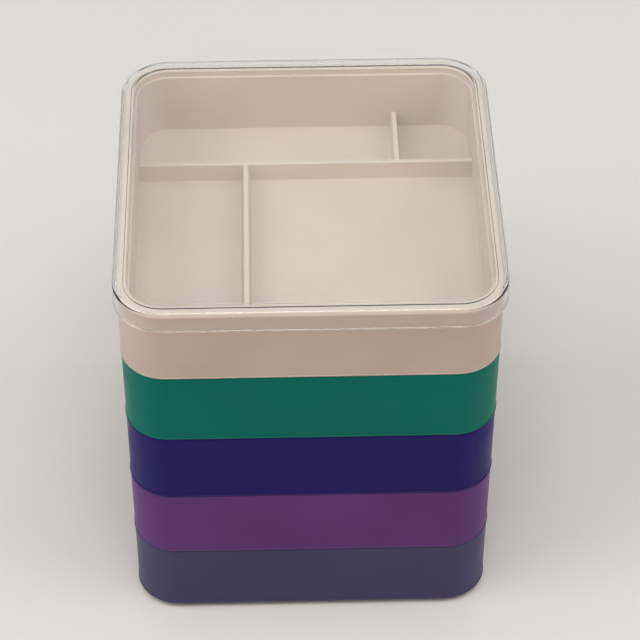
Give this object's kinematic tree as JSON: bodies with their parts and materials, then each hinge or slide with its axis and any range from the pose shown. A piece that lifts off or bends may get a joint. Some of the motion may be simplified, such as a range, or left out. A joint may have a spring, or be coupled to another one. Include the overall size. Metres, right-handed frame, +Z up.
{
  "type": "stackable craft organizer box",
  "caption": "Square stack of shallow compartment trays with rounded corners, each seated in the rim of the one below, closed by a clear lift-off lid.",
  "frame": {"origin": "middle of the stack's footprint, on the surface that the foot ring stands on", "axes": "+Z up, +X to the right and +Y to the back; the long compartments lie towards -Y"},
  "size_m": [0.1536, 0.1536, 0.18],
  "materials": {
    "slate_plastic": "satin",
    "purple_plastic": "satin",
    "navy_plastic": "satin",
    "green_plastic": "satin",
    "beige_plastic": "satin",
    "clear_plastic": "clear, polished"
  },
  "bodies": {
    "bottom_tray": {"bottom_tray": "slate_plastic"},
    "second_tray": {"second_tray": "purple_plastic"},
    "third_tray": {"third_tray": "navy_plastic"},
    "fourth_tray": {"fourth_tray": "green_plastic"},
    "top_tray": {"top_tray": "beige_plastic"},
    "clear_lid": {"clear_lid": "clear_plastic"}
  },
  "joints": [
    {"name": "second_tray_lift", "type": "slide", "parent": "bottom_tray", "child": "second_tray", "axis": [0, 0, 1], "range_m": [0, 0.06]},
    {"name": "third_tray_lift", "type": "slide", "parent": "second_tray", "child": "third_tray", "axis": [0, 0, 1], "range_m": [0, 0.06]},
    {"name": "fourth_tray_lift", "type": "slide", "parent": "third_tray", "child": "fourth_tray", "axis": [0, 0, 1], "range_m": [0, 0.06]},
    {"name": "top_tray_lift", "type": "slide", "parent": "fourth_tray", "child": "top_tray", "axis": [0, 0, 1], "range_m": [0, 0.06]},
    {"name": "clear_lid_lift", "type": "slide", "parent": "top_tray", "child": "clear_lid", "axis": [0, 0, 1], "range_m": [0, 0.06]}
  ]
}
